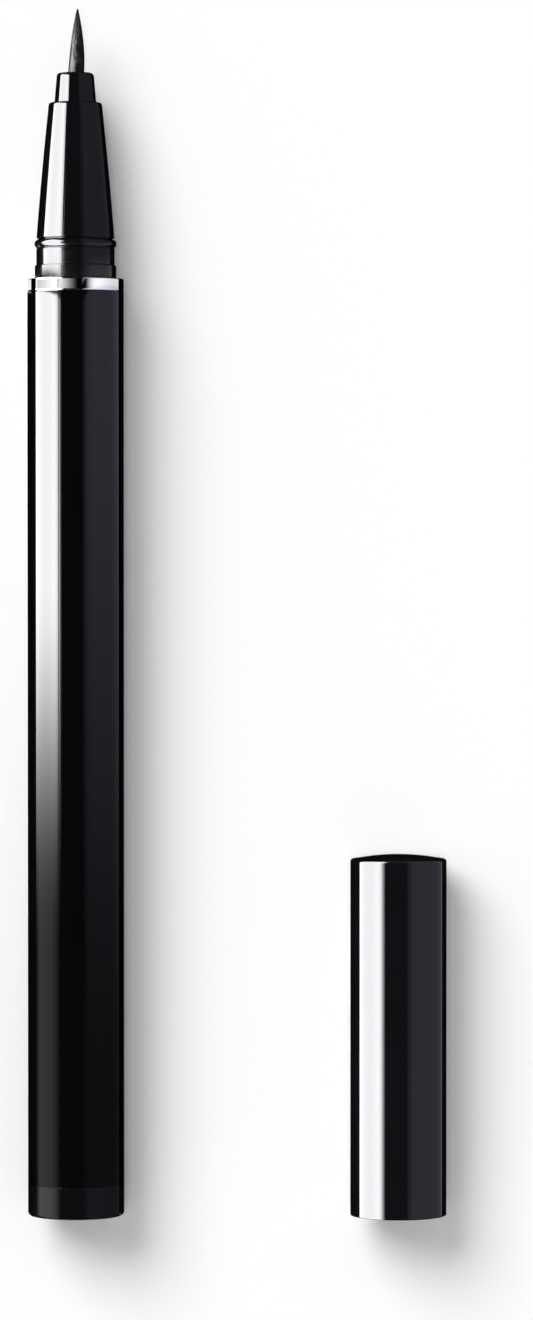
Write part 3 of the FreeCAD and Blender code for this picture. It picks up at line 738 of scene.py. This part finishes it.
# The pen's strip light has a gap where the ring sees it. A strip further back fills it from other sides.
PEN_STRIP = strip_light("pen_strip_light", top=(28.0, 49.0), ends=(68.0, 82.0), fade=(-45.0, 4.0))
add_card("pen_strip_light", upright(PEN_X - STRIP_OUT, CARD_BACK, 35.55, STRIP_FOOT, STRIP_TOP), PEN_STRIP)
add_card("nose_strip_light", upright(PEN_X - STRIP_OUT, 37.9, 82, STRIP_FOOT, STRIP_TOP), PEN_STRIP)
add_card("gap_strip_light", upright(PEN_X - GAP_STRIP_OUT, 10, 64, STRIP_FOOT, GAP_STRIP_TOP),
         strip_light("gap_strip_light", top=(43.0, 76.5), ends=(68.0, 82.0), ring=(35.6, 39.2)))
add_card("cap_strip_light", upright(CAP_X - STRIP_OUT, CARD_BACK, 60, STRIP_FOOT, STRIP_TOP),
         strip_light("cap_strip_light", top=(27.4, 47.5), ends=(40.0, 60.0)))
add_card("pen_side_card", upright(PEN_X + SIDE_OUT, 120, CARD_BACK, -5.2, SIDE_TOP),
         side_card("pen_side_card", 1.0, fade=(-55.0, 35.0), ring=(35.7, 38.4), dim=(38.0, 39.6)))
add_card("cap_side_card", upright(CAP_X + SIDE_OUT, 40, CARD_BACK, -3.5, SIDE_TOP),
         side_card("cap_side_card", 0.86))
add_card("ring_under_card", level_card(PEN_X - 14.2, PEN_X - 5.4, 34.9, 36.7, -0.9),
         white_card("ring_under_card"))
add_card("ring_over_card", [(PEN_X - 25, 36.25, OVER_Z), (PEN_X - 25, 37.7, OVER_Z),
                            (PEN_X + 5, 37.25, OVER_Z), (PEN_X + 5, 35.85, OVER_Z)],
         over_card("ring_over_card"))
add_card("dark_foot_pen", upright(PEN_X - STRIP_OUT, CARD_BACK, FAR_AHEAD, -STRIP_FOOT, STRIP_FOOT), CLOTH)
add_card("dark_under_pen", tray(PEN_X - STRIP_OUT, PEN_X + SIDE_OUT, PAST_TAIL, FAR_AHEAD), CLOTH)
add_card("dark_under_cap", tray(PEN_X + SIDE_OUT, CAP_X + SIDE_OUT, PAST_TAIL, 0), CLOTH)
add_card("grey_behind", level_card(-150, 150, FAR_BEHIND, PAST_TAIL, -3.0), behind_card("grey_behind"))
add_card("dark_hood_pen", hood(PEN_X, CARD_BACK, HOOD_END), CLOTH)
add_card("dark_hood_cap", hood(CAP_X, CARD_BACK, HOOD_END), CLOTH)
add_card("dark_overhead", level_card(-1200, 218, -700, 700, 600), CLOTH)
add_card("dark_ahead", end_card(FAR_AHEAD), CLOTH)
add_card("dark_behind", end_card(FAR_BEHIND), CLOTH)


def soft_room(seen=0.97, shed=0.375):
    """World that the camera and reflections see as pale, and that sheds a softer light on the rest."""
    room = Finish("soft_room", bpy.data.worlds)
    shown = sum(room.node("ShaderNodeLightPath", output=ray)
                for ray in ("Is Camera Ray", "Is Glossy Ray", "Is Transmission Ray"))
    colour = room.mix(shown, (shed, shed, shed, 1), (seen, seen, seen, 1))
    light = room.node("ShaderNodeBackground", {}, {"Color": colour, "Strength": 1.0})
    bpy.context.scene.world = room.close(light, "ShaderNodeOutputWorld")


def add_sun(name, energy, width, climb, swing):
    """Soft distant light. Its width, its climb and its swing from -X towards +Y are in degrees."""
    sun = bpy.data.lights.new(name, "SUN")
    sun.energy, sun.angle = energy, math.radians(width)
    climb, swing = math.radians(climb), math.radians(swing)
    lamp = bpy.data.objects.new(name, sun)
    way = Vector((math.cos(climb) * math.cos(swing), -math.cos(climb) * math.sin(swing), -math.sin(climb)))
    lamp.rotation_euler = way.to_track_quat("-Z", "Y").to_euler()
    lamp.visible_glossy = False
    bpy.context.scene.collection.objects.link(lamp)


soft_room()
add_sun("soft_key", 2.4, 38.3, 43.0, 51.7)
add_sun("soft_top", 0.526, 12, 89, 0)

lens = bpy.data.cameras.new("overhead_camera")
lens.lens = 151.4
lens.sensor_width = 36.0
lens.clip_start, lens.clip_end = 0.01, 100.0
camera = bpy.data.objects.new("overhead_camera", lens)
CAMERA_X, CAMERA_Y, CAMERA_HEIGHT, AIM_Y = 3.17, 9.0, 600.0, -5.07
camera.location = Vector((CAMERA_X, CAMERA_Y, AXIS_Z + CAMERA_HEIGHT)) * MM
camera.rotation_euler = (math.atan2(AIM_Y - CAMERA_Y, CAMERA_HEIGHT), 0, 0)
bpy.context.scene.collection.objects.link(camera)
bpy.context.scene.camera = camera
bpy.context.scene.view_settings.view_transform = "Standard"
